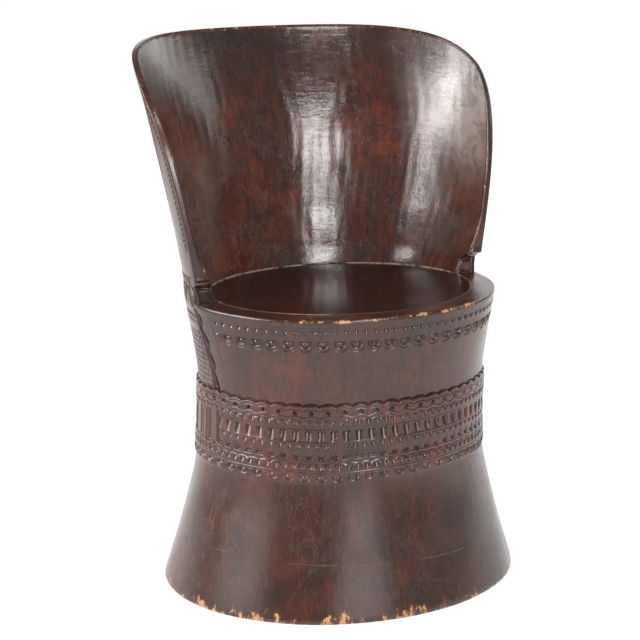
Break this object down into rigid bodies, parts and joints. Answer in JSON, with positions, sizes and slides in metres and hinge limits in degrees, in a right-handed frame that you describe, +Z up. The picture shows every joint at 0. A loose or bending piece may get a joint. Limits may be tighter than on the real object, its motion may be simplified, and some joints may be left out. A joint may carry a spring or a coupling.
{
  "type": "tree trunk chair",
  "caption": "Low chair carved from one hollowed log: flared base with carved bands, oval seat board let in flush, and a back that wraps round the sitter.",
  "frame": {"origin": "on the floor, in the middle of the oval foot", "axes": "+Z up, -Y the way the sitter faces, +X to the right of someone who looks at the chair from the front"},
  "size_m": [0.5462, 0.5154, 0.777],
  "materials": {
    "lacquered_trunk": "dark brown lacquer, worn to bare wood on the edges",
    "lacquered_seat": "dark red-brown lacquer, glossy",
    "bare_pine": "unfinished, sawn",
    "peg_birch": "cut flush and lacquered over",
    "nail_iron": "forged, dull"
  },
  "bodies": {
    "root": {"trunk": "lacquered_trunk", "seat_board": "lacquered_seat", "batten_left": "bare_pine", "batten_right": "bare_pine", "seat_pegs": "peg_birch", "batten_nails": "nail_iron"}
  },
  "joints": []
}
